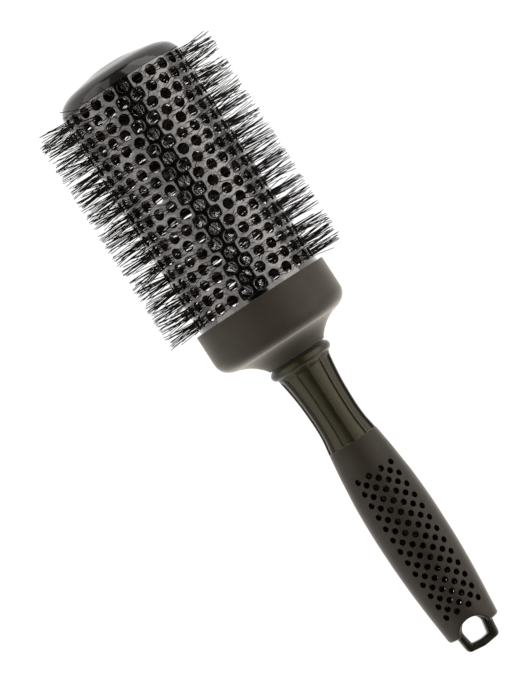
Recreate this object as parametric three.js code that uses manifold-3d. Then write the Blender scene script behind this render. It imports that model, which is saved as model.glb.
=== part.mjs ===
// A round barrel hair brush: a perforated metal barrel closed by a domed cap, a twisted-wire core
// whose bristle tufts stand out through the barrel's holes, a cup-shaped base, a ribbed neck,
// a hollow vented grip and a hanging loop.
//
// Millimetres. The brush lies on its bristle tips: +X runs along its axis from the cap to the
// loop, +Z is up, and the vents and the loop's open side face up. The origin is on the surface
// that it lies on, under the middle of its length.
//
// Every shape is made along +X with x = 0 at the cap's crown. An angle is counted about +X from
// straight up, by the right-hand rule.

import * as THREE from "three";
import { mergeVertices } from "three/addons/utils/BufferGeometryUtils.js";
import loadManifold from "manifold-3d";

// ---------------------------------------------------------------- driving dimensions
const GAP = 0.3; // left between pieces that touch
const OVERSHOOT = 3; // how far a cut runs past the wall that it goes through
const HOLE_SIDES = 4;

const LENGTH = 266.1; // cap's crown to the loop's end
const BARREL_RADIUS = 26.5;
const BARREL_WALL = 0.9;
const BRISTLE_RADIUS = 39; // axis to the bristle tips

const CAP_END = 9; // the seam between cap and barrel
const CAP_SPIGOT_END = 10.9;
const CAP_SPIGOT_WALL = 1.8;

// The cap's dome and its inside, each from the axis outwards, as [x, radius].
const DOME = [
  [0, 0],
  [0.3, 7.5],
  [1.3, 12],
  [2.05, 16],
  [3.0, 20],
  [3.9, 22.1],
  [5.2, 24],
  [6.4, 25.1],
  [CAP_END, 26.2],
];
const DOME_INSIDE = [
  [3.2, 8],
  [4.0, 14],
  [5.2, 19],
  [8.0, 22.8],
];

const RING_COUNT = 18;
const FIRST_RING = 12.1;
const RING_PITCH = 5.32;
const HOLE_RADIUS = 2.25;
const HOLES_PER_RING = 26;
const BARREL_FACETS = HOLES_PER_RING;
const RING_TURN = Math.PI / BARREL_FACETS; // each ring of holes is turned this much from the last

const TUFT_THICKNESS = 1;
const HUB_RADIUS = 6;
const HUB_BORE = 4;
const HUB_SEGMENTS = 4;

const STRAND_RADIUS = 1.5;
const STRAND_OFFSET = STRAND_RADIUS + GAP; // axis to a strand's centreline
const STRAND_LEAD = 20;
const STRAND_STEPS_PER_TURN = 6;
const STRAND_SEGMENTS = 3;
const CORE_START = 5.2;
const CORE_SOCKET_FLOOR = 3.9;
const CORE_END = 124;
const CORE_SOCKET = STRAND_OFFSET + STRAND_RADIUS + GAP;
const SOCKET_WALL = 2;

const BASE_FACETS = 28;
const BASE_START = 106.6;
const BASE_RADIUS = 28.6;
const BASE_SHOULDER = 119.5; // where the cup starts to turn in
const BASE_SHOULDER_END = 125.8;
const BASE_SHOULDER_RADIUS = 23.4; // where the cup's rounding ends
const BASE_CREASE_RADIUS = 21.2; // where the cup's end meets the flare
const BASE_END = 133.2;
const BASE_END_RADIUS = 11.9;
const TUBE_SEAT_END = 112.4; // how far the barrel sits in the base
const BASE_FLOOR = 121;
const BASE_FLOOR_RADIUS = 19;
const BASE_FLOOR_SLOPE = 3; // how far the floor's edge rises towards the barrel
const BASE_ROUND_STEPS = 4;
const SOCKET_LENGTH = 7; // the core's socket, up from the base's floor
const COLLAR_START = BASE_START + 1.5; // the collar inside the barrel's end
const COLLAR_WALL = 2;

const BEAD_RADIUS = 13.2;
const BEAD_HALF_WIDTH = 2.2;
const BEAD_CENTRE = BASE_END + GAP + BEAD_HALF_WIDTH;
const BEAD_ARC = 0.86 * Math.PI; // how far round its section the bead stands clear
const BEAD_STEPS = 4;
const SHAFT_START = 139.5; // where the neck between the ribs starts
const RIB_START = 137.5;
const NECK_STEPS = 5;
const NECK_END = 171.8;
const RIB_COUNT = 11;
const RIB_WIDTH = 0.9;
const RIB_HEIGHT = 0.7;
const FIRST_RIB_ANGLE = THREE.MathUtils.degToRad(-5.7);
const TENON_RADIUS = 7.5;
const TENON_START = 126.2;
const TANG_RADIUS = 5.6;
const TANG_END = 216;

const GRIP_END = 257.9;
const GRIP_WALL = 2;
const GRIP_FACETS = 28;
const GRIP_MOUTH_RADIUS = 9.3;
const GRIP_EDGE = 1; // the chamfer round its end, along the axis
const GRIP_EDGE_DEPTH = 0.9; // the same chamfer, towards the axis
const GRIP_LEAD_STEPS = 3;
const NOTCH_RADIUS = 8.4;
const NOTCH_BOTTOM = 252;
const NOTCH_FACETS = 32;

const VENT_RADIUS = 1.2;
const VENT_ROWS = [-3, -1, 1, 3];
const VENT_ROW_ANGLE = (2 * Math.PI) / GRIP_FACETS;
const VENT_PITCH = 5.13;
const FIRST_VENT = 186.6;
const VENTS_PER_ROW = 13;
const GRIP_CAVITY_START = 178;
// Where the grip's outline bends, always midway between two vents.
const GRIP_STATIONS = Array.from({ length: 7 }, (_, i) => FIRST_VENT + (2 * i - 0.5) * VENT_PITCH);

const LOOP_THICKNESS = 7;
const LOOP_START = 246.5;
const LOOP_HALF_WIDTH = 8.16; // where it leaves the grip
const LOOP_END_HALF_WIDTH = 7.2;
const LOOP_CORNER = 2.4;
const LOOP_BOW = 1.4; // how far its end edge bows out
const LOOP_SEGMENTS = 6;
const EYE_START = 253.7;
const EYE_END = 263.7;
const EYE_HALF_WIDTH = 5.5;
const EYE_END_HALF_WIDTH = 4.3;
const EYE_SHOULDER = 255.6; // where the eye's round end meets its straight sides

// The handle's outline, from the bead over the waist and the belly to the grip's end.
const HANDLE_OUTLINE = new THREE.SplineCurve(
  [
    [136.0, 11.7],
    [147.6, 10.0],
    [160.5, 9.35],
    [171.0, 10.35],
    [182.0, 11.9],
    [194.0, 13.05],
    [212.0, 13.67],
    [232.0, 13.2],
    [246.0, 12.15],
    [259.0, 10.95],
  ].map(([x, radius]) => new THREE.Vector2(x, radius)),
);
const OUTLINE_SAMPLES = HANDLE_OUTLINE.getPoints(200);

// ---------------------------------------------------------------- materials
const finish = (color, roughness, metalness) =>
  new THREE.MeshStandardMaterial({ color, roughness, metalness });

const MATERIALS = {
  cap: finish(0x3b3a3a, 0.15, 0.4),
  barrel: finish(0x6f6c6a, 0.35, 0.8),
  bristle: finish(0x1a1717, 0.45, 0),
  wire: finish(0x9a9894, 0.3, 1),
  base: finish(0x4a453f, 0.75, 0),
  neck: finish(0x3d3929, 0.4, 0),
  grip: finish(0x46413b, 0.8, 0),
  loop: finish(0x1c1a1a, 0.25, 0),
};

// ---------------------------------------------------------------- solids
const manifold = await loadManifold();
manifold.setup();

function solidOf(geometry) {
  const bare = new THREE.BufferGeometry();
  const source = geometry.index ? geometry.toNonIndexed() : geometry;
  bare.setAttribute("position", source.getAttribute("position"));
  const merged = mergeVertices(bare, 1e-4);
  return new manifold.Manifold(
    new manifold.Mesh({
      numProp: 3,
      vertProperties: merged.attributes.position.array,
      triVerts: new Uint32Array(merged.index.array),
    }),
  );
}

function geometryOf(solid) {
  const mesh = solid.getMesh();
  const geometry = new THREE.BufferGeometry();
  geometry.setAttribute("position", new THREE.BufferAttribute(mesh.vertProperties, 3));
  geometry.setIndex(new THREE.BufferAttribute(mesh.triVerts, 1));
  return geometry;
}

const subtractAll = (solid, tools) => tools.reduce((left, tool) => left.subtract(tool), solid);
const joinAll = (solids) => solids.reduce((joined, next) => joined.add(next));

// ---------------------------------------------------------------- shape helpers
// A body of revolution about X. The profile is a list of [x, radius] that runs from the cap's
// end to the loop's end outside, and back inside.
function revolve(profile, facets, turn = 0) {
  const points = profile.map(([x, radius]) => new THREE.Vector2(radius, x));
  const geometry = new THREE.LatheGeometry(points, facets);
  geometry.rotateZ(-Math.PI / 2); // the lathe's +Y becomes +X
  geometry.rotateX(turn);
  return geometry;
}

// Points on a quarter ellipse from (x0, r0), which it leaves along X, to (x1, r1).
function quarterRound(x0, r0, x1, r1, steps) {
  return Array.from({ length: steps + 1 }, (_, i) => {
    const angle = (i / steps) * (Math.PI / 2);
    return [x0 + (x1 - x0) * Math.sin(angle), r1 + (r0 - r1) * Math.cos(angle)];
  });
}

// A prism along a radius of the brush, which cuts a hole through the wall from radius inner to outer.
function radialCut(x, angle, radius, inner, outer) {
  const length = outer - inner + 2 * OVERSHOOT;
  const geometry = new THREE.CylinderGeometry(radius, radius, length, HOLE_SIDES);
  geometry.rotateX(Math.PI / 2); // its axis becomes +Z
  geometry.translate(x, 0, (inner + outer) / 2);
  geometry.rotateX(angle);
  return solidOf(geometry);
}

function handleRadius(x) {
  const next = OUTLINE_SAMPLES.findIndex((point) => point.x >= x);
  const [a, b] = [OUTLINE_SAMPLES[next - 1], OUTLINE_SAMPLES[next]];
  return THREE.MathUtils.mapLinear(x, a.x, b.x, a.y, b.y);
}

function handleStretch(start, end, steps, inset = 0) {
  return Array.from({ length: steps + 1 }, (_, i) => {
    const x = start + ((end - start) * i) / steps;
    return [x, handleRadius(x) - inset];
  });
}

// ---------------------------------------------------------------- head
function endCap() {
  const spigot = BARREL_RADIUS - BARREL_WALL - GAP;
  const socketOutside = CORE_SOCKET + SOCKET_WALL;
  return revolve(
    [
      ...DOME,
      [CAP_END, spigot],
      [CAP_SPIGOT_END, spigot],
      [CAP_SPIGOT_END, spigot - CAP_SPIGOT_WALL],
      ...[...DOME_INSIDE].reverse(),
      [DOME_INSIDE[0][0], socketOutside],
      [CAP_SPIGOT_END, socketOutside],
      [CAP_SPIGOT_END, CORE_SOCKET],
      [CORE_SOCKET_FLOOR, CORE_SOCKET],
      [CORE_SOCKET_FLOOR, 0],
    ],
    BARREL_FACETS,
  );
}

const ringPlace = (ring) => FIRST_RING + RING_PITCH * ring;
const holeAngle = (ring, hole) => (2 * Math.PI * hole) / HOLES_PER_RING + ring * RING_TURN;

function barrelTube() {
  const inside = BARREL_RADIUS - BARREL_WALL;
  const tubeStart = CAP_END + GAP;
  const tube = revolve(
    [
      [tubeStart, inside],
      [tubeStart, BARREL_RADIUS],
      [TUBE_SEAT_END, BARREL_RADIUS],
      [TUBE_SEAT_END, inside],
      [tubeStart, inside],
    ],
    BARREL_FACETS,
    RING_TURN,
  );
  const holes = [];
  for (let ring = 0; ring < RING_COUNT; ring++) {
    for (let hole = 0; hole < HOLES_PER_RING; hole++) {
      const angle = holeAngle(ring, hole);
      holes.push(radialCut(ringPlace(ring), angle, HOLE_RADIUS, inside, BARREL_RADIUS));
    }
  }
  return geometryOf(subtractAll(solidOf(tube), holes));
}

// One ring of tufts round the wire core: a star whose points pass through the ring's holes.
function bristleRing(ring) {
  const star = new THREE.Shape(
    Array.from({ length: 2 * HOLES_PER_RING }, (_, corner) => {
      const angle = (Math.PI * corner) / HOLES_PER_RING;
      const radius = corner % 2 ? HUB_RADIUS : BRISTLE_RADIUS;
      return new THREE.Vector2(radius * Math.cos(angle), radius * Math.sin(angle));
    }),
  );
  star.holes.push(new THREE.Path().absarc(0, 0, HUB_BORE, 0, 2 * Math.PI, true));
  const geometry = new THREE.ExtrudeGeometry(star, {
    depth: TUFT_THICKNESS,
    bevelEnabled: false,
    curveSegments: HUB_SEGMENTS,
  });
  geometry.translate(0, 0, -TUFT_THICKNESS / 2);
  geometry.rotateY(Math.PI / 2); // its thickness runs along X, and its first point is straight down
  geometry.rotateX(holeAngle(ring, 0) + Math.PI);
  return geometry;
}

// One of the two strands that are twisted round each other, in a left-handed helix.
function coreStrand(phase) {
  const turns = (CORE_END - CORE_START) / STRAND_LEAD;
  const steps = Math.round(turns * STRAND_STEPS_PER_TURN);
  const centreline = new THREE.CatmullRomCurve3(
    Array.from({ length: steps + 1 }, (_, i) => {
      const angle = phase - (2 * Math.PI * turns * i) / steps;
      return new THREE.Vector3(
        CORE_START + ((CORE_END - CORE_START) * i) / steps,
        -STRAND_OFFSET * Math.sin(angle),
        STRAND_OFFSET * Math.cos(angle),
      );
    }),
  );
  const section = new THREE.Shape().absarc(0, 0, STRAND_RADIUS, 0, 2 * Math.PI);
  return new THREE.ExtrudeGeometry(section, {
    steps,
    extrudePath: centreline,
    curveSegments: STRAND_SEGMENTS,
  });
}

// ---------------------------------------------------------------- base and handle
function barrelBase() {
  const seat = BARREL_RADIUS + GAP;
  const collarOutside = BARREL_RADIUS - BARREL_WALL - GAP;
  const socketOutside = CORE_SOCKET + SOCKET_WALL;
  const tenonSocket = TENON_RADIUS + GAP;
  const shoulder = quarterRound(
    BASE_SHOULDER,
    BASE_RADIUS,
    BASE_SHOULDER_END,
    BASE_SHOULDER_RADIUS,
    BASE_ROUND_STEPS,
  );
  const flare = quarterRound(
    BASE_END,
    BASE_END_RADIUS,
    BASE_SHOULDER_END,
    BASE_CREASE_RADIUS,
    BASE_ROUND_STEPS,
  );
  return revolve(
    [
      [BASE_START, seat],
      [BASE_START, BASE_RADIUS],
      ...shoulder,
      ...flare.reverse(),
      [BASE_END, tenonSocket],
      [TENON_START - GAP, tenonSocket],
      [TENON_START - GAP, CORE_SOCKET],
      [BASE_FLOOR - SOCKET_LENGTH, CORE_SOCKET],
      [BASE_FLOOR - SOCKET_LENGTH, socketOutside],
      [BASE_FLOOR, socketOutside],
      [BASE_FLOOR, BASE_FLOOR_RADIUS],
      [BASE_FLOOR - BASE_FLOOR_SLOPE, collarOutside - COLLAR_WALL],
      [COLLAR_START, collarOutside - COLLAR_WALL],
      [COLLAR_START, collarOutside],
      [TUBE_SEAT_END + GAP, collarOutside],
      [TUBE_SEAT_END + GAP, seat],
      [BASE_START, seat],
    ],
    BASE_FACETS,
  );
}

function handleNeck() {
  const beadStart = BEAD_CENTRE - BEAD_HALF_WIDTH;
  const beadRoot = BEAD_RADIUS - BEAD_HALF_WIDTH;
  const bead = Array.from({ length: BEAD_STEPS + 1 }, (_, i) => {
    const angle = (i / BEAD_STEPS) * BEAD_ARC;
    return [
      BEAD_CENTRE - BEAD_HALF_WIDTH * Math.cos(angle),
      beadRoot + BEAD_HALF_WIDTH * Math.sin(angle),
    ];
  });
  const shaft = solidOf(
    revolve(
      [
        [TENON_START, 0],
        [TENON_START, TENON_RADIUS],
        [beadStart, TENON_RADIUS],
        ...bead,
        ...handleStretch(SHAFT_START, NECK_END, NECK_STEPS, RIB_HEIGHT),
        [NECK_END, TANG_RADIUS],
        [TANG_END, TANG_RADIUS],
        [TANG_END, 0],
      ],
      3 * RIB_COUNT,
    ),
  );
  const ribs = Array.from({ length: RIB_COUNT }, (_, i) => {
    const angle = FIRST_RIB_ANGLE + (2 * Math.PI * i) / RIB_COUNT;
    return neckRib(angle);
  });
  return geometryOf(joinAll([shaft, ...ribs]));
}

// A fin that follows the handle's outline and stands RIB_HEIGHT out of the neck's shaft.
function neckRib(angle) {
  const outside = handleStretch(RIB_START, NECK_END, NECK_STEPS);
  const side = new THREE.Shape([
    ...outside.map(([x, radius]) => new THREE.Vector2(x, radius)),
    new THREE.Vector2(NECK_END, TANG_RADIUS),
    new THREE.Vector2(RIB_START, TANG_RADIUS),
  ]);
  const geometry = new THREE.ExtrudeGeometry(side, { depth: RIB_WIDTH, bevelEnabled: false });
  geometry.translate(0, 0, -RIB_WIDTH / 2);
  geometry.rotateX(Math.PI / 2); // its height runs along +Z
  geometry.rotateX(angle);
  return solidOf(geometry);
}

function gripSleeve() {
  const gripStart = NECK_END + GAP;
  const tangSeat = TANG_RADIUS + GAP;
  const cavity = GRIP_STATIONS.map((x) => [x, handleRadius(x) - GRIP_WALL]);
  const body = solidOf(
    revolve(
      [
        [gripStart, tangSeat],
        ...handleStretch(gripStart, GRIP_STATIONS[0], GRIP_LEAD_STEPS),
        ...GRIP_STATIONS.slice(1).map((x) => [x, handleRadius(x)]),
        [GRIP_END - GRIP_EDGE, handleRadius(GRIP_END - GRIP_EDGE)],
        [GRIP_END, handleRadius(GRIP_END) - GRIP_EDGE_DEPTH],
        [GRIP_END, GRIP_MOUTH_RADIUS],
        ...cavity.reverse(),
        [GRIP_CAVITY_START, tangSeat],
        [gripStart, tangSeat],
      ],
      GRIP_FACETS,
      VENT_ROW_ANGLE / 2,
    ),
  );
  const vents = [];
  for (const row of VENT_ROWS) {
    for (const side of [0, Math.PI]) {
      for (let vent = 0; vent < VENTS_PER_ROW; vent++) {
        const x = FIRST_VENT + VENT_PITCH * vent;
        const outside = handleRadius(x);
        vents.push(
          radialCut(x, row * VENT_ROW_ANGLE + side, VENT_RADIUS, outside - GRIP_WALL, outside),
        );
      }
    }
  }
  const notch = new THREE.CylinderGeometry(
    NOTCH_RADIUS,
    NOTCH_RADIUS,
    2 * BARREL_RADIUS, // wider than the grip
    NOTCH_FACETS,
  );
  notch.rotateX(Math.PI / 2);
  notch.translate(NOTCH_BOTTOM + NOTCH_RADIUS, 0, 0);
  return geometryOf(subtractAll(body, [...vents, solidOf(notch)]));
}

function hangLoop() {
  const outline = new THREE.Shape();
  const endCorner = LENGTH - LOOP_BOW;
  outline.moveTo(LOOP_START, -LOOP_HALF_WIDTH);
  outline.lineTo(GRIP_END, -LOOP_HALF_WIDTH);
  outline.lineTo(endCorner - LOOP_CORNER, -LOOP_END_HALF_WIDTH);
  outline.quadraticCurveTo(endCorner, -LOOP_END_HALF_WIDTH, endCorner, LOOP_CORNER - LOOP_END_HALF_WIDTH);
  outline.quadraticCurveTo(LENGTH + LOOP_BOW, 0, endCorner, LOOP_END_HALF_WIDTH - LOOP_CORNER);
  outline.quadraticCurveTo(endCorner, LOOP_END_HALF_WIDTH, endCorner - LOOP_CORNER, LOOP_END_HALF_WIDTH);
  outline.lineTo(GRIP_END, LOOP_HALF_WIDTH);
  outline.lineTo(LOOP_START, LOOP_HALF_WIDTH);
  outline.closePath();

  const eye = new THREE.Path();
  eye.moveTo(EYE_SHOULDER, -EYE_HALF_WIDTH);
  eye.quadraticCurveTo(2 * EYE_START - EYE_SHOULDER, 0, EYE_SHOULDER, EYE_HALF_WIDTH);
  eye.lineTo(EYE_END, EYE_END_HALF_WIDTH);
  eye.lineTo(EYE_END, -EYE_END_HALF_WIDTH);
  eye.closePath();
  outline.holes.push(eye);

  const geometry = new THREE.ExtrudeGeometry(outline, {
    depth: LOOP_THICKNESS,
    bevelEnabled: false,
    curveSegments: LOOP_SEGMENTS,
  });
  geometry.translate(0, 0, -LOOP_THICKNESS / 2);
  return geometry;
}

// ---------------------------------------------------------------- assembly
const brush = new THREE.Group();
brush.position.set(-LENGTH / 2, 0, BRISTLE_RADIUS);

function place(name, geometry, material, x = 0) {
  const mesh = new THREE.Mesh(geometry, material);
  mesh.name = name;
  mesh.position.x = x;
  brush.add(mesh);
}

place("end_cap", endCap(), MATERIALS.cap);
place("barrel_tube", barrelTube(), MATERIALS.barrel);
for (let ring = 0; ring < RING_COUNT; ring++) {
  const number = String(ring + 1).padStart(2, "0");
  place(`bristle_ring_${number}`, bristleRing(ring), MATERIALS.bristle, ringPlace(ring));
}
place("core_wire_a", coreStrand(0), MATERIALS.wire);
place("core_wire_b", coreStrand(Math.PI), MATERIALS.wire);
place("barrel_base", barrelBase(), MATERIALS.base);
place("handle_neck", handleNeck(), MATERIALS.neck);
place("grip_sleeve", gripSleeve(), MATERIALS.grip);
place("hang_loop", hangLoop(), MATERIALS.loop);

const part = new THREE.Group();
part.add(brush);

export default part;
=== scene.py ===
"""Looks of a round barrel hair brush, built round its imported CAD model.

The brush lies on its bristle tips, with its axis along X and its vents facing up. Every shape below is
worked out in millimetres as (x, angle, radius): x from the cap's crown along the axis, angle about the
axis from straight up by the right-hand rule, radius from the axis. place() turns that into the frame.
"""

import math
import random

import bpy
import numpy as np
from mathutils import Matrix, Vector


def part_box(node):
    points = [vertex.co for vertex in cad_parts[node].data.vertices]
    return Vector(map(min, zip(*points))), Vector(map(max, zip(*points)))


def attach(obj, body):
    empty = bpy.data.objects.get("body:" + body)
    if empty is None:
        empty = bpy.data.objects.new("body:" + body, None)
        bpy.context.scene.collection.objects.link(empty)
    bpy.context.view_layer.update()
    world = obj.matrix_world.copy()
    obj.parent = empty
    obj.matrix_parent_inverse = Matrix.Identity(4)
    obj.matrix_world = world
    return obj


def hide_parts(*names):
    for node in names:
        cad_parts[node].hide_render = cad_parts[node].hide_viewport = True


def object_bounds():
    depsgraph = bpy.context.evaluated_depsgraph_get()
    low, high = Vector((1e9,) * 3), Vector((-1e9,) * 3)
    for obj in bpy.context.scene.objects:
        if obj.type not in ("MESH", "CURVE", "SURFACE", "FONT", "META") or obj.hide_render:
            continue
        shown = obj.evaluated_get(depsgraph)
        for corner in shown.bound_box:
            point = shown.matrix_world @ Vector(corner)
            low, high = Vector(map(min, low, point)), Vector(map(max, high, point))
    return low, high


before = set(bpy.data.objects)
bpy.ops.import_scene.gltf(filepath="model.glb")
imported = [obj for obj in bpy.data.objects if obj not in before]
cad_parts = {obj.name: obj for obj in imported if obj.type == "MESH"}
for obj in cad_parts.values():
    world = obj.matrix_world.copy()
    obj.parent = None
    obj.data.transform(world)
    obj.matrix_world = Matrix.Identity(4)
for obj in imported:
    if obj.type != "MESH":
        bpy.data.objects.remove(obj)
cad_box = [list(corner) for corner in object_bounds()]

# ------------------------------------------------------------------ where things are
MM = 0.001
TURN = 2 * math.pi

tube_low, tube_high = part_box("barrel_tube")
CROWN_X = cad_box[0][0]
AXIS_Y = (tube_low[1] + tube_high[1]) / 2
AXIS_Z = (tube_low[2] + tube_high[2]) / 2
FLOOR_Z = cad_box[0][2]


def along(node, corner):
    """Where a CAD node starts (0) or ends (1) along the axis, in mm from the crown."""
    return (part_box(node)[corner][0] - CROWN_X) / MM


LENGTH = along("hang_loop", 1)
TUBE_START = along("barrel_tube", 0)
TUBE_END = along("barrel_tube", 1)
BASE_START = along("barrel_base", 0)
BASE_END = along("barrel_base", 1)
GRIP_START = along("grip_sleeve", 0)
GRIP_END = along("grip_sleeve", 1)
WIRE_START = along("core_wire_a", 0)
WIRE_END = along("core_wire_a", 1)

BARREL_R = 26.5
BARREL_WALL = 0.9
RINGS = 18
HOLES = 26  # in each ring
RING_PITCH = 5.32
FIRST_RING = 12.1
HOLE_R = 2.25
HOLE_EDGE = 0.12  # the rounding of a hole's edges
TIP_R = 39.6  # the reach of the longest bristles
FLOOR_R = 38.9  # how far straight down, or up, they may reach
MIN_TIP_COS = 0.5  # keeps that limit finite for the bristles that stand out sideways
TINY = 1e-9


def place(x, angle, r):
    """A point in the frame, in metres, from arrays or numbers in mm and radians."""
    x, angle, r = np.broadcast_arrays(
        np.asarray(x, float), np.asarray(angle, float), np.asarray(r, float)
    )
    return np.stack(
        [
            CROWN_X + x * MM,
            AXIS_Y - r * MM * np.sin(angle),
            AXIS_Z + r * MM * np.cos(angle),
        ],
        axis=-1,
    )


# ------------------------------------------------------------------ materials
def new_material(name):
    """A material, its node tree and its shader."""
    mat = bpy.data.materials.new(name)
    mat.use_nodes = True
    tree = mat.node_tree
    bsdf = tree.nodes["Principled BSDF"]
    return mat, tree, bsdf


def noise(tree, scale, detail, rough=0.55, stretch=(1, 1, 1)):
    """Noise in object space. Its scale is in cells per metre."""
    coords = tree.nodes.new("ShaderNodeTexCoord")
    mapping = tree.nodes.new("ShaderNodeMapping")
    mapping.inputs["Scale"].default_value = stretch
    tex = tree.nodes.new("ShaderNodeTexNoise")
    tex.inputs["Scale"].default_value = scale
    tex.inputs["Detail"].default_value = detail
    tex.inputs["Roughness"].default_value = rough
    tree.links.new(coords.outputs["Object"], mapping.inputs["Vector"])
    tree.links.new(mapping.outputs["Vector"], tex.inputs["Vector"])
    return tex.outputs["Fac"]


def spread(tree, value, low, high, out_low, out_high):
    """Maps a 0..1 value to a range, clamped."""
    node = tree.nodes.new("ShaderNodeMapRange")
    node.inputs["From Min"].default_value = low
    node.inputs["From Max"].default_value = high
    node.inputs["To Min"].default_value = out_low
    node.inputs["To Max"].default_value = out_high
    tree.links.new(value, node.inputs["Value"])
    return node.outputs["Result"]


def blend_colours(tree, fac, a, b):
    """A colour between a (where fac is 0) and b (where it is 1)."""
    mix = tree.nodes.new("ShaderNodeMix")
    mix.data_type = "RGBA"
    # The node keeps a set of sockets for each data type. These are the colour ones.
    colour_a, colour_b, result = mix.inputs[6], mix.inputs[7], mix.outputs[2]
    colour_a.default_value = (*a, 1)
    colour_b.default_value = (*b, 1)
    tree.links.new(fac, mix.inputs["Factor"])
    return result


def bump(tree, bsdf, height, strength, distance):
    """Fine relief on the shader. The distance is in metres."""
    node = tree.nodes.new("ShaderNodeBump")
    node.inputs["Strength"].default_value = strength
    node.inputs["Distance"].default_value = distance
    tree.links.new(height, node.inputs["Height"])
    tree.links.new(node.outputs["Normal"], bsdf.inputs["Normal"])


def soft_touch(name, dark, light, rough):
    """Matt elastomer paint with a fine grain and faint handling marks."""
    mat, tree, bsdf = new_material(name)
    patches = spread(tree, noise(tree, 45, 4), 0.35, 0.65, 0, 1)
    tree.links.new(blend_colours(tree, patches, dark, light), bsdf.inputs["Base Color"])
    wear = spread(tree, noise(tree, 140, 5), 0.3, 0.7, rough - 0.06, rough + 0.06)
    tree.links.new(wear, bsdf.inputs["Roughness"])
    bsdf.inputs["Specular IOR Level"].default_value = 0.28
    bsdf.inputs["Specular Tint"].default_value = (1, 0.92, 0.78, 1)
    bsdf.inputs["Sheen Weight"].default_value = 0.8
    bsdf.inputs["Sheen Roughness"].default_value = 0.35
    bsdf.inputs["Sheen Tint"].default_value = (1, 0.92, 0.8, 1)
    bump(tree, bsdf, noise(tree, 2600, 3, 0.7), 0.45, 0.00008)
    return mat


def satin_barrel():
    """Ceramic-coated metal: satin, finely speckled, with faint marks round the barrel."""
    mat, tree, bsdf = new_material("satin_barrel")
    bsdf.inputs["Metallic"].default_value = 1
    speckle = spread(tree, noise(tree, 1500, 3), 0.3, 0.7, 0, 1)
    colour = blend_colours(tree, speckle, (0.07, 0.0635, 0.059), (0.106, 0.0965, 0.09))
    tree.links.new(colour, bsdf.inputs["Base Color"])
    marks = noise(tree, 90, 5, 0.6, stretch=(12, 1, 1))
    tree.links.new(spread(tree, marks, 0.3, 0.7, 0.11, 0.19), bsdf.inputs["Roughness"])
    bsdf.inputs["Coat Weight"].default_value = 0.8
    bsdf.inputs["Coat Roughness"].default_value = 0.1
    bump(tree, bsdf, noise(tree, 1800, 2), 0.12, 0.00004)
    return mat


def gloss_cap():
    """Polished dark plastic with faint smears."""
    mat, tree, bsdf = new_material("gloss_cap")
    patches = spread(tree, noise(tree, 60, 3), 0.35, 0.65, 0, 1)
    colour = blend_colours(tree, patches, (0.0085, 0.0074, 0.0066), (0.012, 0.0105, 0.0095))
    tree.links.new(colour, bsdf.inputs["Base Color"])
    smears = spread(tree, noise(tree, 220, 5, 0.65), 0.3, 0.7, 0.08, 0.14)
    tree.links.new(smears, bsdf.inputs["Roughness"])
    bsdf.inputs["Specular IOR Level"].default_value = 0.42
    bsdf.inputs["Specular Tint"].default_value = (1, 0.96, 0.93, 1)
    bump(tree, bsdf, noise(tree, 700, 2), 0.05, 0.00003)
    return mat


def nylon():
    """Bristle filament: near-black, each one a slightly different shade."""
    mat, tree, bsdf = new_material("nylon")
    geometry = tree.nodes.new("ShaderNodeNewGeometry")
    shade = geometry.outputs["Random Per Island"]
    colour = blend_colours(tree, shade, (0.003, 0.0021, 0.0017), (0.024, 0.0175, 0.015))
    tree.links.new(colour, bsdf.inputs["Base Color"])
    gloss = spread(tree, noise(tree, 800, 2), 0.3, 0.7, 0.35, 0.5)
    tree.links.new(gloss, bsdf.inputs["Roughness"])
    bsdf.inputs["Specular IOR Level"].default_value = 0.06
    bump(tree, bsdf, noise(tree, 3000, 2), 0.08, 0.00003)
    return mat


def drawn_wire():
    """Drawn steel wire with fine scratches along it."""
    mat, tree, bsdf = new_material("drawn_wire")
    bsdf.inputs["Metallic"].default_value = 1
    tone = spread(tree, noise(tree, 400, 4), 0.3, 0.7, 0, 1)
    colour = blend_colours(tree, tone, (0.32, 0.315, 0.31), (0.44, 0.435, 0.43))
    tree.links.new(colour, bsdf.inputs["Base Color"])
    scratches = spread(tree, noise(tree, 900, 4), 0.3, 0.7, 0.09, 0.16)
    tree.links.new(scratches, bsdf.inputs["Roughness"])
    bump(tree, bsdf, noise(tree, 1200, 2, stretch=(1, 4, 4)), 0.03, 0.00003)
    return mat


def moulded(name, dark, light, rough, specular, sheen, coat):
    """Moulded plastic with a slight sheen: a faint grain, and gloss that wanders a little."""
    mat, tree, bsdf = new_material(name)
    patches = spread(tree, noise(tree, 70, 4), 0.35, 0.65, 0, 1)
    tree.links.new(blend_colours(tree, patches, dark, light), bsdf.inputs["Base Color"])
    gloss = spread(tree, noise(tree, 260, 5), 0.3, 0.7, rough - 0.05, rough + 0.06)
    tree.links.new(gloss, bsdf.inputs["Roughness"])
    bsdf.inputs["Specular IOR Level"].default_value = specular
    bsdf.inputs["Sheen Weight"].default_value = sheen
    bsdf.inputs["Sheen Roughness"].default_value = 0.3
    bsdf.inputs["Specular Tint"].default_value = (1, 0.93, 0.68, 1)
    bsdf.inputs["Coat Weight"].default_value = coat
    bsdf.inputs["Coat Roughness"].default_value = 0.2
    bump(tree, bsdf, noise(tree, 1700, 3, 0.6), 0.2, 0.00005)
    return mat


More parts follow.
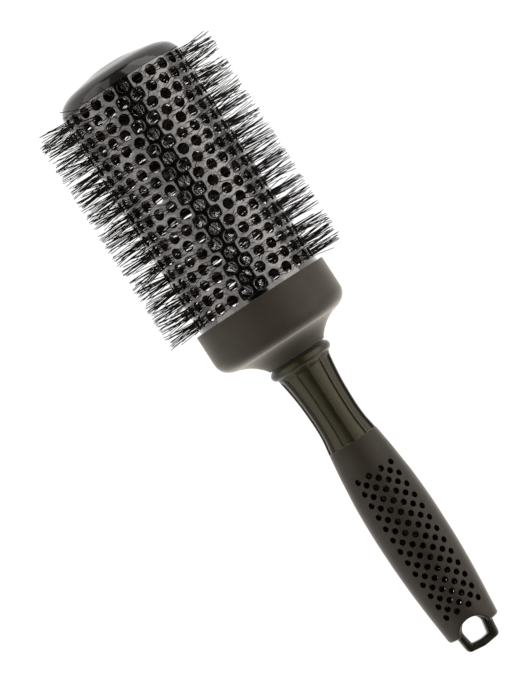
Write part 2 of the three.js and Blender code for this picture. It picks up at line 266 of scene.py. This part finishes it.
MATERIALS = {
    "cap": gloss_cap(),
    "barrel": satin_barrel(),
    "bristle": nylon(),
    "wire": drawn_wire(),
    "base": soft_touch(
        "base_soft_touch", dark=(0.0118, 0.0085, 0.005), light=(0.0145, 0.0107, 0.0066), rough=0.58
    ),
    "neck": moulded(
        "neck_plastic", dark=(0.0085, 0.0063, 0.0012), light=(0.0108, 0.0081, 0.0019),
        rough=0.34, specular=0.32, sheen=0.7, coat=0,
    ),
    "grip": soft_touch(
        "grip_soft_touch", dark=(0.0048, 0.0024, 0.0008), light=(0.0064, 0.0034, 0.0012), rough=0.58
    ),
    "loop": moulded(
        "loop_plastic", dark=(0.0028, 0.0021, 0.0017), light=(0.0045, 0.0034, 0.0028),
        rough=0.28, specular=0.45, sheen=0, coat=0.15,
    ),
}
# Near-black material for the walls of the grip's vents and its inner surface: painted shade, not the grip's
# own colour, so that the vents read as dark holes.
GRIP_VENT_SHADE = moulded(
    "grip_vent_shade", dark=(0.0006, 0.0005, 0.0004), light=(0.001, 0.0008, 0.0006),
    rough=0.5, specular=0.08, sheen=0, coat=0,
)


# ------------------------------------------------------------------ meshes
def piece(name, verts, faces, slot, nodes, sharp=35):
    """One named piece of the brush, standing for the CAD nodes given. Edges over sharp degrees are hard."""
    mesh = bpy.data.meshes.new(name)
    mesh.from_pydata(np.asarray(verts).tolist(), [], faces)
    mesh.validate()
    mesh.polygons.foreach_set("use_smooth", [True] * len(mesh.polygons))
    mesh.set_sharp_from_angle(angle=math.radians(sharp))
    mesh.materials.append(MATERIALS[slot])
    obj = bpy.data.objects.new(name, mesh)
    bpy.context.collection.objects.link(obj)
    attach(obj, "root")
    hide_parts(*nodes)
    return obj


def grid_faces(rows, columns, close_rows):
    """Quads between rows x columns points in row order, outward for rows along +X and angles rising."""
    faces = []
    for i in range(rows if close_rows else rows - 1):
        below, above = i * columns, ((i + 1) % rows) * columns
        for j in range(columns):
            k = (j + 1) % columns
            faces.append((below + j, below + k, above + k, above + j))
    return faces


def fillet(corners, steps=5):
    """A closed line with its corners rounded. A corner is two coordinates, or those and a radius."""
    out = []
    count = len(corners)
    for i, corner in enumerate(corners):
        here = np.array(corner[:2], float)
        radius = corner[2] if len(corner) > 2 else 0
        if not radius:
            out.append(tuple(here))
            continue
        before = np.array(corners[i - 1][:2], float) - here
        after = np.array(corners[(i + 1) % count][:2], float) - here
        a, b = before / np.linalg.norm(before), after / np.linalg.norm(after)
        half = math.acos(np.clip(a @ b, -1, 1)) / 2
        shorter = min(np.linalg.norm(before), np.linalg.norm(after))
        reach = min(radius / math.tan(half), 0.49 * shorter)  # just short of the next corner's half
        for t in np.linspace(0, 1, steps + 1):
            out.append(tuple(here + a * reach * (1 - t) ** 2 + b * reach * t**2))
    return out


def lathe(name, profile, slot, nodes):
    """A body of revolution from a closed profile. One that starts and ends on the axis is capped there."""
    segments = 192
    angles = np.arange(segments) * TURN / segments
    xs = np.array([p[0] for p in profile])
    rs = np.array([p[1] for p in profile])
    on_axis = rs[0] < TINY and rs[-1] < TINY
    if not on_axis:
        verts = place(xs[:, None], angles[None, :], rs[:, None]).reshape(-1, 3)
        return piece(name, verts, grid_faces(len(xs), segments, True), slot, nodes)
    inner = place(xs[1:-1, None], angles[None, :], rs[1:-1, None]).reshape(-1, 3)
    ends = place(xs[[0, -1]], 0, 0)
    verts = np.vstack([inner, ends])
    faces = grid_faces(len(xs) - 2, segments, False)
    first, last = len(inner), len(inner) + 1
    final = (len(xs) - 3) * segments
    for j in range(segments):
        k = (j + 1) % segments
        faces.append((first, k, j))
        faces.append((last, final + j, final + k))
    return piece(name, verts, faces, slot, nodes)


def smooth_line(points, steps):
    """Points along a Catmull-Rom curve through the (x, r) points given."""
    p = np.array(points, float)
    p = np.vstack([2 * p[0] - p[1], p, 2 * p[-1] - p[-2]])
    out = []
    for i in range(1, len(p) - 2):
        for t in np.arange(steps) / steps:
            out.append(
                0.5
                * (
                    2 * p[i]
                    + (p[i + 1] - p[i - 1]) * t
                    + (2 * p[i - 1] - 5 * p[i] + 4 * p[i + 1] - p[i + 2]) * t**2
                    + (3 * p[i] - p[i - 1] - 3 * p[i + 1] + p[i + 2]) * t**3
                )
            )
    out.append(p[-2])
    return [tuple(q) for q in out]


BLOCK = 6  # grid steps across the cell round one hole, each way
ROUNDED = 0.3  # how far out and in the middle of a hole's rounded edge is, as a share of the edge


def cell_rim():
    """Grid offsets round a cell's edge, counted from the middle of its +x side."""
    half = BLOCK // 2
    path = [(half, j) for j in range(0, half + 1)]
    path += [(i, half) for i in range(half - 1, -half - 1, -1)]
    path += [(-half, j) for j in range(half - 1, -half - 1, -1)]
    path += [(i, -half) for i in range(-half + 1, half + 1)]
    path += [(half, j) for j in range(-half + 1, 0)]
    return path


def perforated(name, xs, angles, holes, hole_r, throat, edge, outer, inner, slot, nodes, core=None):
    """A closed sleeve with round holes.

    xs is the stations along the axis and angles the columns round it. Each hole is the (row, column) of
    its centre, and takes up the cell of grid steps round it. It narrows from hole_r on the outside by
    throat on the inside, and its edges are rounded by edge. outer and inner turn arrays of (x, angle)
    into points on the two surfaces. core is a near-black material put on the holes' walls and the inner
    surface, where it isn't the slot's: painted shade, so that the holes read as dark.
    """
    rows, columns = len(xs), len(angles)
    xs, angles = np.asarray(xs, float), np.asarray(angles, float)
    grid_x, grid_a = np.meshgrid(xs, angles, indexing="ij")
    verts = [outer(grid_x, grid_a).reshape(-1, 3), inner(grid_x, grid_a).reshape(-1, 3)]
    below = rows * columns
    count = 2 * below

    half = BLOCK // 2
    taken = np.zeros((rows, columns), bool)
    for row, column in holes:
        for i in range(row - half, row + half):
            for j in range(column - half, column + half):
                taken[i, j % columns] = True
    faces, shade_faces = [], []
    for i in range(rows - 1):
        for j in range(columns):
            if taken[i, j]:
                continue
            k = (j + 1) % columns
            a, b = i * columns + j, i * columns + k
            c, d = (i + 1) * columns + k, (i + 1) * columns + j
            faces.append((a, b, c, d))
            # The inner surface takes the near-black painted-shade material.
            shade_faces.append(len(faces))
            faces.append((below + d, below + c, below + b, below + a))
    last = (rows - 1) * columns
    for j in range(columns):
        k = (j + 1) % columns
        faces.append((below + j, below + k, k, j))
        faces.append((last + j, last + k, below + last + k, below + last + j))

    rim = cell_rim()
    sides = len(rim)
    turn = np.arange(sides) * TURN / sides
    # Each loop of a wall: the surface it is measured from, how much wider it is than the hole, how deep.
    levels = [
        ("outer", edge, 0.0),
        ("outer", edge * ROUNDED, edge * ROUNDED),
        ("outer", 0.0, edge),
        ("inner", -throat, -edge),
        ("inner", edge - throat, 0.0),
    ]
    skin_bands = 2  # the bands of faces at the top of a wall that keep the slot's material
    for row, column in holes:
        x0, a0 = xs[row], angles[column % columns]
        centre = outer(np.array([x0]), np.array([a0]))[0]
        radius = np.linalg.norm(centre[1:] - (AXIS_Y, AXIS_Z)) / MM
        loops = [[(row + i) * columns + (column + j) % columns for i, j in rim]]
        for surface, grow, sink in levels:
            around = hole_r + grow
            x, a = x0 + around * np.cos(turn), a0 + around * np.sin(turn) / radius
            top, bottom = outer(x, a), inner(x, a)
            inward = (bottom - top) / np.linalg.norm(bottom - top, axis=1)[:, None]
            verts.append((top if surface == "outer" else bottom) + inward * sink * MM)
            loops.append(list(range(count, count + sides)))
            count += sides
        loops.append([below + v for v in loops[0]])
        for band, (upper, lower) in enumerate(zip(loops, loops[1:])):
            for k in range(sides):
                m = (k + 1) % sides
                if band >= skin_bands:
                    shade_faces.append(len(faces))
                faces.append((upper[k], upper[m], lower[m], lower[k]))
    points = np.vstack(verts)
    used = np.unique(np.concatenate([np.asarray(f) for f in faces]))
    remap = np.full(len(points), -1)
    remap[used] = np.arange(len(used))
    faces = [tuple(int(remap[v]) for v in f) for f in faces]
    sleeve = piece(name, points[used], faces, slot, nodes, sharp=30)
    # The holes' walls below the skin and the inner surface get the near-black material: painted shade.
    if core is not None:
        sleeve.data.materials.append(core)
        for k in shade_faces:
            sleeve.data.polygons[k].material_index = 1
    return sleeve


def tube_along(path, radius, sides):
    """Vertices and faces of a round bar along a path of points in metres. Its radius is in mm."""
    path = np.asarray(path)
    tangent = np.gradient(path, axis=0)
    tangent /= np.linalg.norm(tangent, axis=1)[:, None]
    helper = np.array([0.31, 0.87, 0.39])  # a direction that no path runs along
    side = np.cross(tangent, helper)
    side /= np.linalg.norm(side, axis=1)[:, None]
    other = np.cross(tangent, side)
    turn = np.arange(sides) * TURN / sides
    radius = np.broadcast_to(radius, len(path))[:, None, None] * MM
    ring = side[:, None] * np.cos(turn)[None, :, None] + other[:, None] * np.sin(turn)[None, :, None]
    verts = (path[:, None] + ring * radius).reshape(-1, 3)
    faces = grid_faces(len(path), sides, False)
    faces.append(tuple(reversed(range(sides))))
    faces.append(tuple(range((len(path) - 1) * sides, len(path) * sides)))
    return verts, faces


def join(parts):
    """Several (vertices, faces) as one."""
    verts, faces, base = [], [], 0
    for v, f in parts:
        verts.append(v)
        faces += [tuple(base + i for i in face) for face in f]
        base += len(v)
    return np.vstack(verts), faces


# ------------------------------------------------------------------ head
def end_cap():
    """The domed cap, with the spigot that sits in the barrel and a hollow behind the dome."""
    dome_edge = (7.7, 25.8)
    seam = TUBE_START - 0.12
    spigot_r, spigot_wall, spigot_length = BARREL_R - BARREL_WALL - 0.15, 1.6, 1.7
    dome = smooth_line(
        [
            (0, 0),
            (0.1, 4),
            (0.35, 7.8),
            (1.25, 12),
            (2.05, 16),
            (3.0, 20),
            (3.85, 22.1),
            (5.1, 24.0),
            (6.4, 25.1),
            dome_edge,
        ],
        6,
    )
    inside = fillet(
        [
            dome_edge,
            (seam, 26.35, 0.25),
            (seam, spigot_r),
            (seam + spigot_length, spigot_r, 0.2),
            (seam + spigot_length, spigot_r - spigot_wall, 0.2),
            (8.0, 22.6, 1.5),
            (4.4, 14),
            (3.4, 6),
            (3.3, 0),
        ]
    )
    lathe("cap_shell", dome + inside[1:], "cap", ["end_cap"])


def ring_x(ring):
    """Where a ring of holes is along the axis."""
    return FIRST_RING + RING_PITCH * ring


def ring_turn(ring):
    """How far round a ring's first hole is: every other ring is half a hole further."""
    return (ring % 2) * math.pi / HOLES


def barrel():
    """The perforated tube. Its grid has BLOCK stations to a ring, and a few more at its ends."""
    columns = HOLES * BLOCK
    angles = np.arange(columns) * TURN / columns
    step = RING_PITCH / BLOCK
    xs = [TUBE_START, TUBE_START + 0.02]
    first = len(xs)
    start = ring_x(0) - RING_PITCH / 2
    # The first ring's cells would start before the tube does, so their stations are held inside it.
    xs += [max(start + step * i, TUBE_START + 0.04 + 0.01 * i) for i in range(RINGS * BLOCK + 1)]
    xs += [BASE_START - 0.6, BASE_START + 0.3, TUBE_END]
    holes = []
    for ring in range(RINGS):
        row = first + BLOCK // 2 + BLOCK * ring
        offset = (ring % 2) * BLOCK // 2
        holes += [(row, hole * BLOCK + offset) for hole in range(HOLES)]

    def outside(x, a):
        return place(x, a, BARREL_R)

    def inside(x, a):
        return place(x, a, BARREL_R - BARREL_WALL)

    perforated(
        "barrel_sleeve", xs, angles, holes, HOLE_R, 0, HOLE_EDGE, outside, inside, "barrel", ["barrel_tube"]
    )


STRAND_LEAD = 20.0  # along the axis for one turn of the twisted core
STRAND_PHASE = 0.6
STRAND_R = 1.5
STRAND_OFFSET = 1.58  # of each strand's own line from the axis

ROOT_R = 2.6  # where the filaments leave the core
FILAMENT_R = (0.13, 0.175)
THINNING = np.array([1.0, 1.2, 1.15, 1, 0.95, 0.75])  # of a filament's radius, at each share of its length
REACH = np.array([0.0, 0.3, 0.62, 0.8, 0.97, 1.0])  # those shares
TUFT_R = 1.85  # of the tuft, in its hole
FAN = (1.0, 1.9)  # how much wider the tuft is at its tip
CORE_PULL = 0.8  # the share of the way to the core's nearest clamp that a tuft's root is pulled
LEAN = 0.5  # the share of the slope this gives the tuft that is left outside the barrel
CLEAR_OF_CAP = 7.6  # no filament's tip stands further towards the crown
SPLAY = 0.9  # how far the tips stray from their tuft
BOW = 0.2  # how far a filament bends aside between the barrel and its tip
THIN_TUFTS = math.cos(math.radians(11))  # the tufts this near straight up are thin


def clamp_offset(x, angle):
    """How far along the axis from x the twisted core holds the filaments that leave at an angle."""
    along_core = (STRAND_PHASE - angle) * STRAND_LEAD / TURN + WIRE_START
    half_lead = STRAND_LEAD / 2
    return (along_core - x + half_lead / 2) % half_lead - half_lead / 2


def strands(rng, angle):
    """How many filaments come out of a hole. The holes in the middle, over the core, are thinly filled."""
    if math.cos(angle) > THIN_TUFTS:
        return rng.choice([2, 2, 3])
    return rng.choice([3, 4, 4, 5] if math.sin(angle) < 0 else [4, 4, 5, 5])


def bristles():
    """A tuft through each hole, each filament bowed and splayed a little on its own."""
    rng = random.Random(7)
    for ring in range(RINGS):
        parts = []
        for hole in range(HOLES):
            angle = hole * TURN / HOLES + ring_turn(ring)
            root_x = CORE_PULL * clamp_offset(ring_x(ring), angle)
            slope = -root_x / (BARREL_R - ROOT_R)
            lean_x = LEAN * slope * (TIP_R - BARREL_R) + rng.gauss(0, 0.5)
            lean_a = rng.gauss(0, 0.6)
            for _ in range(strands(rng, angle)):
                # Where it is in its hole (hx, ha) and at its tip (tx, ta), in mm from the hole's middle.
                spot = math.sqrt(rng.random()) * TUFT_R
                way = rng.random() * TURN
                hx, ha = spot * math.cos(way), spot * math.sin(way)
                fan = rng.uniform(*FAN)
                tx = max(hx * fan + lean_x + rng.gauss(0, SPLAY), CLEAR_OF_CAP - ring_x(ring))
                ta = ha * fan + lean_a + rng.gauss(0, SPLAY)
                bow_x, bow_a = rng.gauss(0, BOW), rng.gauss(0, BOW)
                # One in ten is a millimetre short.
                tip = TIP_R - abs(rng.gauss(0, 0.4)) - (1.0 if rng.random() < 0.1 else 0)
                tip = min(tip, FLOOR_R / max(abs(math.cos(angle)), MIN_TIP_COS))
                r = ROOT_R + (tip - ROOT_R) * REACH
                within = np.clip((r - ROOT_R) / (BARREL_R - ROOT_R), 0, 1)
                beyond = np.clip((r - BARREL_R) / (TIP_R - BARREL_R), 0, 1)
                dx = root_x * (1 - within) + hx * within + (tx - hx) * beyond
                da = ha * within + (ta - ha) * beyond
                dx = dx + bow_x * np.sin(np.pi * beyond)
                da = da + bow_a * np.sin(np.pi * beyond)
                # The sideways shift turns into an angle, kept small near the axis.
                path = place(ring_x(ring) + dx, angle + da / np.maximum(r, 8), r)
                parts.append(tube_along(path, rng.uniform(*FILAMENT_R) * THINNING, 5))
        verts, faces = join(parts)
        number = f"{ring + 1:02d}"
        piece("tufts_" + number, verts, faces, "bristle", ["bristle_ring_" + number], sharp=60)


def core_wires():
    """The two strands of the core, twisted round each other."""
    inset = 0.6
    xs = np.linspace(WIRE_START + inset, WIRE_END - inset, 200)
    for index, letter in enumerate("ab"):
        angle = index * math.pi - TURN * (xs - xs[0]) / STRAND_LEAD
        verts, faces = tube_along(place(xs, angle, STRAND_OFFSET), STRAND_R, 20)
        piece("core_strand_" + letter, verts, faces, "wire", ["core_wire_" + letter], sharp=60)


# ------------------------------------------------------------------ base and handle
def barrel_base():
    """The cup round the barrel's end, its rounded shoulder, and the flare down to the bead."""
    cup_r, seat_r, socket_r = 28.65, BARREL_R + 0.12, 7.9
    shoulder = smooth_line(
        [
            (119.2, cup_r),
            (120.6, 28.5),
            (121.9, 28.05),
            (123.1, 27.3),
            (124.1, 26.3),
            (124.9, 25.0),
            (125.5, 23.5),
            (126.0, 21.6),
        ],
        6,
    )
    flare = smooth_line(
        [
            (126.55, 20.2),
            (127.2, 18.8),
            (128.2, 17.1),
            (129.5, 15.4),
            (131.1, 13.8),
            (132.2, 12.9),
            (BASE_END - 0.1, 12.35),
        ],
        6,
    )
    lip = fillet(
        [
            (BASE_START + 0.9, seat_r),
            (BASE_START, seat_r, 0.15),
            (BASE_START, cup_r - 0.05, 0.35),
            (113, cup_r),
        ]
    )
    inside = [
        (BASE_END, 12.2),
        (BASE_END, socket_r),
        (TUBE_END + 1, socket_r),
        (TUBE_END + 1, seat_r),
    ]
    lathe("base_cup", lip + shoulder + flare + inside, "base", ["barrel_base"])


HANDLE_LINE = smooth_line(
    [
        (136.0, 11.7),
        (138.5, 11.3),
        (143.1, 10.56),
        (147.7, 10.0),
        (152.3, 9.62),
        (160.3, 9.38),
        (166.1, 9.64),
        (170.7, 10.33),
        (175.3, 10.98),
        (182.2, 11.9),
        (186.9, 12.36),
        (191.5, 12.83),
        (196.1, 13.2),
        (205.3, 13.6),
        (213.0, 13.68),
        (223.7, 13.54),
        (232.9, 13.15),
        (242.1, 12.52),
        (251.4, 11.66),
        (259.0, 10.95),
    ],
    8,
)
LINE_X = np.array([p[0] for p in HANDLE_LINE])
LINE_R = np.array([p[1] for p in HANDLE_LINE])


def handle_r(x):
    """The handle's radius, from below the bead to the end of the grip."""
    return np.interp(x, LINE_X, LINE_R)


RIBS = 11
RIB_TURN = math.radians(-5.7)
RIB_DEPTH = 0.75
RIB_HALF = 0.36  # half the width of a rib, at a radius of 10
RIB_FLANK = 0.2
BEAD_R = 2.15  # of its rounded section
SHANK_R = 8.2  # in the mouth of the grip
TANG_R = 5.6
TANG_CHAMFER = 0.8
TANG_END = along("handle_neck", 1) - TANG_CHAMFER


def smooth_step(t):
    """Eases 0..1 in and out."""
    return t * t * (3 - 2 * t)


def neck():
    """The bead, the ribbed neck and the tang that the grip is moulded over."""
    period = TURN / RIBS
    # Columns on one side of a rib, in radians from its middle: close together over the flank.
    near = np.array([0, 0.16, 0.27, 0.34, 0.4, 0.47, 0.56]) / 10
    far = np.linspace(0.085, period / 2, 7)
    half = np.concatenate([near, far])
    offsets = np.concatenate([-half[:0:-1], half[:-1]])
    angles = np.concatenate([RIB_TURN + period * i + offsets for i in range(RIBS)])
    distance = np.tile(np.abs(offsets), RIBS) * 10
    channel = smooth_step(np.clip((distance - RIB_HALF + RIB_FLANK / 2) / RIB_FLANK, 0, 1))

    # Each station has its place, its radius and how deep the channels between the ribs are there.
    # The distance from a rib's middle is in mm at a radius of 10.
    spigot_start, spigot_r = 126.5, 7.6
    bead_x, bead_centre_r = BASE_END + 0.25 + BEAD_R, 11.0
    root = BASE_END + 0.04
    xs = [spigot_start, spigot_start, root, root]
    rs = [0.01, spigot_r, spigot_r, 11.5]
    depth = [0, 0, 0, 0]
    for t in np.linspace(0.12, 0.83, 12) * math.pi:
        xs.append(bead_x - BEAD_R * math.cos(t))
        rs.append(bead_centre_r + BEAD_R * math.sin(t))
        depth.append(0)
    for x in np.concatenate([np.linspace(xs[-1] + 0.25, 141, 8), np.linspace(142, GRIP_START, 34)]):
        xs.append(x)
        rs.append(float(handle_r(x)))
        depth.append(RIB_DEPTH * smooth_step(min(max((x - 138.0) / 2.2, 0), 1)))
    mouth, tip = GRIP_START + 0.4, TANG_END + TANG_CHAMFER
    xs += [mouth, mouth, 177.5, 179.5, TANG_END, tip, tip]
    rs += [rs[-1], SHANK_R, SHANK_R, TANG_R, TANG_R, TANG_R - TANG_CHAMFER, 0.01]
    depth += [RIB_DEPTH, 0, 0, 0, 0, 0, 0]
    r = np.array(rs)[:, None] - np.array(depth)[:, None] * channel[None, :]
    verts = place(np.array(xs)[:, None], angles[None, :], r).reshape(-1, 3)
    faces = grid_faces(len(xs), len(angles), False)
    last = (len(xs) - 1) * len(angles)
    faces.append(tuple(reversed(range(len(angles)))))
    faces.append(tuple(range(last, last + len(angles))))
    piece("neck_and_bead", verts, faces, "neck", ["handle_neck"], sharp=40)


VENT_R = 1.26
VENT_THROAT = 0.3  # how much narrower a vent is inside
VENT_EDGE = 0.04
VENT_ROWS = 7  # on each face
VENTS_IN_ROW = 13  # in the first row and every other one, and one fewer in those between
VENT_PITCH = 5.13
VENT_START = 186.6
VENT_STEP = math.radians(12.5)
VENT_TURN = math.radians(-2.7)
NOTCH_R = 7.7
NOTCH_X = 252.9 + NOTCH_R
END_R = 11.2  # of the grip, near its end
END_ROUND, END_DEPTH = 1.1, 0.75  # of its rounded end: how far back it goes and how deep
MOUTH_R = 8.5  # of its hollow, at the shank
GRIP_WALL = 2.0


def grip():
    """The hollow grip: seven rows of vents on each face and a scallop at its end for the loop's eye."""
    step = VENT_STEP / BLOCK
    block_columns = VENT_ROWS * BLOCK
    side_count = 46
    side_step = (math.pi - block_columns * step) / side_count
    angles = []
    for face in (0, math.pi):
        start = face + VENT_TURN - block_columns * step / 2
        angles += [start + step * i for i in range(block_columns)]
        angles += [start + step * block_columns + side_step * i for i in range(side_count)]

    vent_step = VENT_PITCH / BLOCK
    vents_from = VENT_START - VENT_PITCH / 2
    lead = list(np.linspace(GRIP_START + 0.1, vents_from - 0.8, 16))
    zone = [vents_from + vent_step * i for i in range(VENTS_IN_ROW * BLOCK + 1)]
    tail = 24
    first = len(lead)
    zone_end = zone[-1]
    xs = lead + zone + [zone_end + (i + 1) for i in range(tail)]
    last = xs[-1]

    holes = []
    for face in range(2):
        middle = face * (block_columns + side_count)
        for row in range(VENT_ROWS):
            offset = BLOCK // 2 if row % 2 == 0 else BLOCK
            count = VENTS_IN_ROW if row % 2 == 0 else VENTS_IN_ROW - 1
            column = middle + BLOCK // 2 + BLOCK * row
            holes += [(first + offset + BLOCK * i, column) for i in range(count)]

    def stretch(x, a):
        """Squeezes the stations after the vents into what the scalloped end leaves at that angle."""
        y = END_R * np.sin(a)
        scallop = NOTCH_X - np.sqrt(np.maximum(NOTCH_R**2 - y**2, 0))
        end = np.where(np.abs(y) < NOTCH_R, np.minimum(scallop, GRIP_END), GRIP_END)
        share = np.clip((x - zone_end) / (last - zone_end), 0, 1)
        share = 1 - (1 - share) ** 2
        return np.where(x > zone_end, zone_end + (end - zone_end) * share, x), end

    def outside(x, a):
        real, end = stretch(x, a)
        from_end = np.clip((real - (end - END_ROUND)) / END_ROUND, 0, 1)
        from_start = np.clip((GRIP_START + 0.5 - x) / 0.4, 0, 1)
        round_end = END_DEPTH * (1 - np.sqrt(1 - np.minimum(from_end, 0.999) ** 2))
        return place(real, a, handle_r(real) - (round_end + 0.12 * from_start**2))

    def inside(x, a):
        real, end = stretch(x, a)
        past_shank = np.clip((real - 178.5) / 3, 0, 1)
        wall = handle_r(real) - (MOUTH_R + (handle_r(real) - GRIP_WALL - MOUTH_R) * past_shank)
        from_end = np.clip((real - (end - 0.6)) / 0.6, 0, 1)
        return place(real, a, handle_r(real) - wall + 0.25 * from_end**2)

    perforated(
        "grip_shell", xs, angles, holes, VENT_R, VENT_THROAT, VENT_EDGE, outside, inside,
        "grip", ["grip_sleeve"], GRIP_VENT_SHADE,
    )


def round_bearings(corners, centre, count):
    """Points round a closed line with rounded corners, at even bearings from a point inside it."""
    line = np.array(fillet(corners, 12))
    line = np.vstack([line, line[:1]])
    length = np.concatenate([[0], np.cumsum(np.linalg.norm(np.diff(line, axis=0), axis=1))])
    at = np.linspace(0, length[-1], 1500, endpoint=False)
    fine = np.stack([np.interp(at, length, line[:, 0]), np.interp(at, length, line[:, 1])], axis=1)
    fine = fine - centre
    bearing = np.mod(np.arctan2(fine[:, 1], fine[:, 0]), TURN)
    order = np.argsort(bearing)
    wanted = np.arange(count) * TURN / count
    reach = np.linalg.norm(fine, axis=1)
    distance = np.interp(wanted, bearing[order], reach[order], period=TURN)
    return centre + distance[:, None] * np.stack([np.cos(wanted), np.sin(wanted)], axis=1)


LOOP_HALF = 3.45  # half its height
LOOP_ROUND = 0.75  # of the edges of its section
LOOP_ROLL = math.radians(-4)
DRAFT, EYE_DRAFT = 0.35, -0.21  # how far the outer and the eye's sides slope by the top and bottom


def loop():
    """The hanging loop: a bar of rounded section round a D-shaped eye, with its root in the grip."""
    end = LENGTH - 0.15
    outer_corners = [
        (247.5, -8.0, 1.5),
        (257.8, -8.1, 6),
        (end - 0.9, -7.2, 2.2),
        (end + 0.1, 0, 9),
        (end - 0.9, 7.2, 2.2),
        (257.8, 8.1, 6),
        (247.5, 8.0, 1.5),
    ]
    eye_corners = [
        (253.6, -2.4, 3),
        (256.4, -4.9, 3.2),
        (262.2, -3.9, 0.9),
        (262.6, 0, 9),
        (262.2, 3.0, 0.9),
        (256.4, 4.1, 3.2),
        (253.6, 2.4, 3),
    ]
    centre = np.array([258.5, 0.0])
    outer = round_bearings(outer_corners, centre, 180)
    eye = round_bearings(eye_corners, centre, 180)
    across = eye - outer
    width = np.linalg.norm(across, axis=1)
    across /= width[:, None]

    # The section's four corners: which side (0 outer, 1 eye), which level, where its rounding starts.
    turns = [(0, -1, math.pi), (1, -1, 1.5 * math.pi), (1, 1, 0.0), (0, 1, 0.5 * math.pi)]
    loops = []
    for side, level, start in turns:
        for t in np.linspace(0, math.pi / 2, 6):
            c, s = math.cos(start + t), math.sin(start + t)
            z = level * (LOOP_HALF - LOOP_ROUND) + LOOP_ROUND * s
            slope = (DRAFT if side == 0 else EYE_DRAFT) * (abs(z) / LOOP_HALF)
            inset = (LOOP_ROUND * (1 + c) if side == 0 else width - LOOP_ROUND * (1 - c)) + slope
            at = outer + across * np.broadcast_to(inset, len(outer))[:, None]
            y = at[:, 1] * math.cos(LOOP_ROLL) - z * math.sin(LOOP_ROLL)
            up = at[:, 1] * math.sin(LOOP_ROLL) + z * math.cos(LOOP_ROLL)
            points = [CROWN_X + at[:, 0] * MM, AXIS_Y + y * MM, AXIS_Z + up * MM]
            loops.append(np.stack(points, axis=1))
    grid = np.stack(loops, axis=1)
    rows, columns = grid.shape[:2]
    faces = grid_faces(rows, columns, True)
    piece("loop_bar", grid.reshape(-1, 3), faces, "loop", ["hang_loop"], sharp=50)


end_cap()
barrel()
bristles()
core_wires()
barrel_base()
neck()
grip()
loop()


# ------------------------------------------------------------------ floor, light and camera
def floor():
    """A white floor that glows, so that it's evenly bright and shows no shadows."""
    mesh = bpy.data.meshes.new("floor")
    size = 4.0
    corners = [(-size, -size), (size, -size), (size, size), (-size, size)]
    mesh.from_pydata([(x, y, FLOOR_Z) for x, y in corners], [], [(0, 1, 2, 3)])
    mat, _, bsdf = new_material("floor_white")
    bsdf.inputs["Base Color"].default_value = (0.05, 0.05, 0.05, 1)
    bsdf.inputs["Roughness"].default_value = 0.8
    bsdf.inputs["Emission Color"].default_value = (1, 1, 1, 1)
    bsdf.inputs["Emission Strength"].default_value = 0.96
    mesh.materials.append(mat)
    obj = bpy.data.objects.new("floor", mesh)
    bpy.context.collection.objects.link(obj)


PANEL_LENGTH = 4.0
PANEL_SHIFT = -0.7  # of the panels' middle from the crown, towards the cap's side


def softbox(name, side, top, bottom, radiance):
    """A panel along the brush. Its long edges are at two angles from the vertical, a metre from the axis."""
    middle, half = math.radians((top + bottom) / 2), math.radians((bottom - top) / 2)
    light = bpy.data.lights.new(name, "AREA")
    light.shape = "RECTANGLE"
    light.size, light.size_y = PANEL_LENGTH, 2 * math.sin(half)
    light.energy = radiance * math.pi * light.size * light.size_y
    obj = bpy.data.objects.new(name, light)
    bpy.context.collection.objects.link(obj)
    obj.location = (
        CROWN_X + PANEL_SHIFT,
        AXIS_Y + side * math.cos(half) * math.sin(middle),
        AXIS_Z + math.cos(half) * math.cos(middle),
    )
    obj.rotation_euler = (-side * middle, 0, 0)


def lighting():
    """Panels on both sides, down to near the floor. They're stronger low down and on +Y. None is overhead."""
    for name, side, strength in (("minus_y", -1, 0.86), ("plus_y", 1, 1.3)):
        softbox("upper_" + name, side, top=19, bottom=50, radiance=1.6 * strength)
        softbox("lower_" + name, side, top=50, bottom=88, radiance=2.5 * strength)
    world = bpy.data.worlds.new("studio")
    world.use_nodes = True
    background = world.node_tree.nodes["Background"]
    background.inputs["Color"].default_value = (1, 1, 1, 1)
    background.inputs["Strength"].default_value = 0.01
    bpy.context.scene.world = world


def camera():
    """Looks straight down on the brush, turned so that its axis runs down to the right."""
    distance = 1.64
    lens_per_metre = 136.7  # sets how much of the frame the brush fills
    over = (0.1227, -0.0074)  # the point below the camera, from the crown
    data = bpy.data.cameras.new("camera")
    data.lens = lens_per_metre * distance
    data.sensor_width = 36
    data.clip_end = 20
    obj = bpy.data.objects.new("camera", data)
    bpy.context.collection.objects.link(obj)
    obj.location = (CROWN_X + over[0], AXIS_Y + over[1], AXIS_Z + distance)
    obj.rotation_euler = (0, 0, math.radians(57.0))
    bpy.context.scene.camera = obj
    bpy.context.scene.view_settings.view_transform = "Standard"


floor()
lighting()
camera()
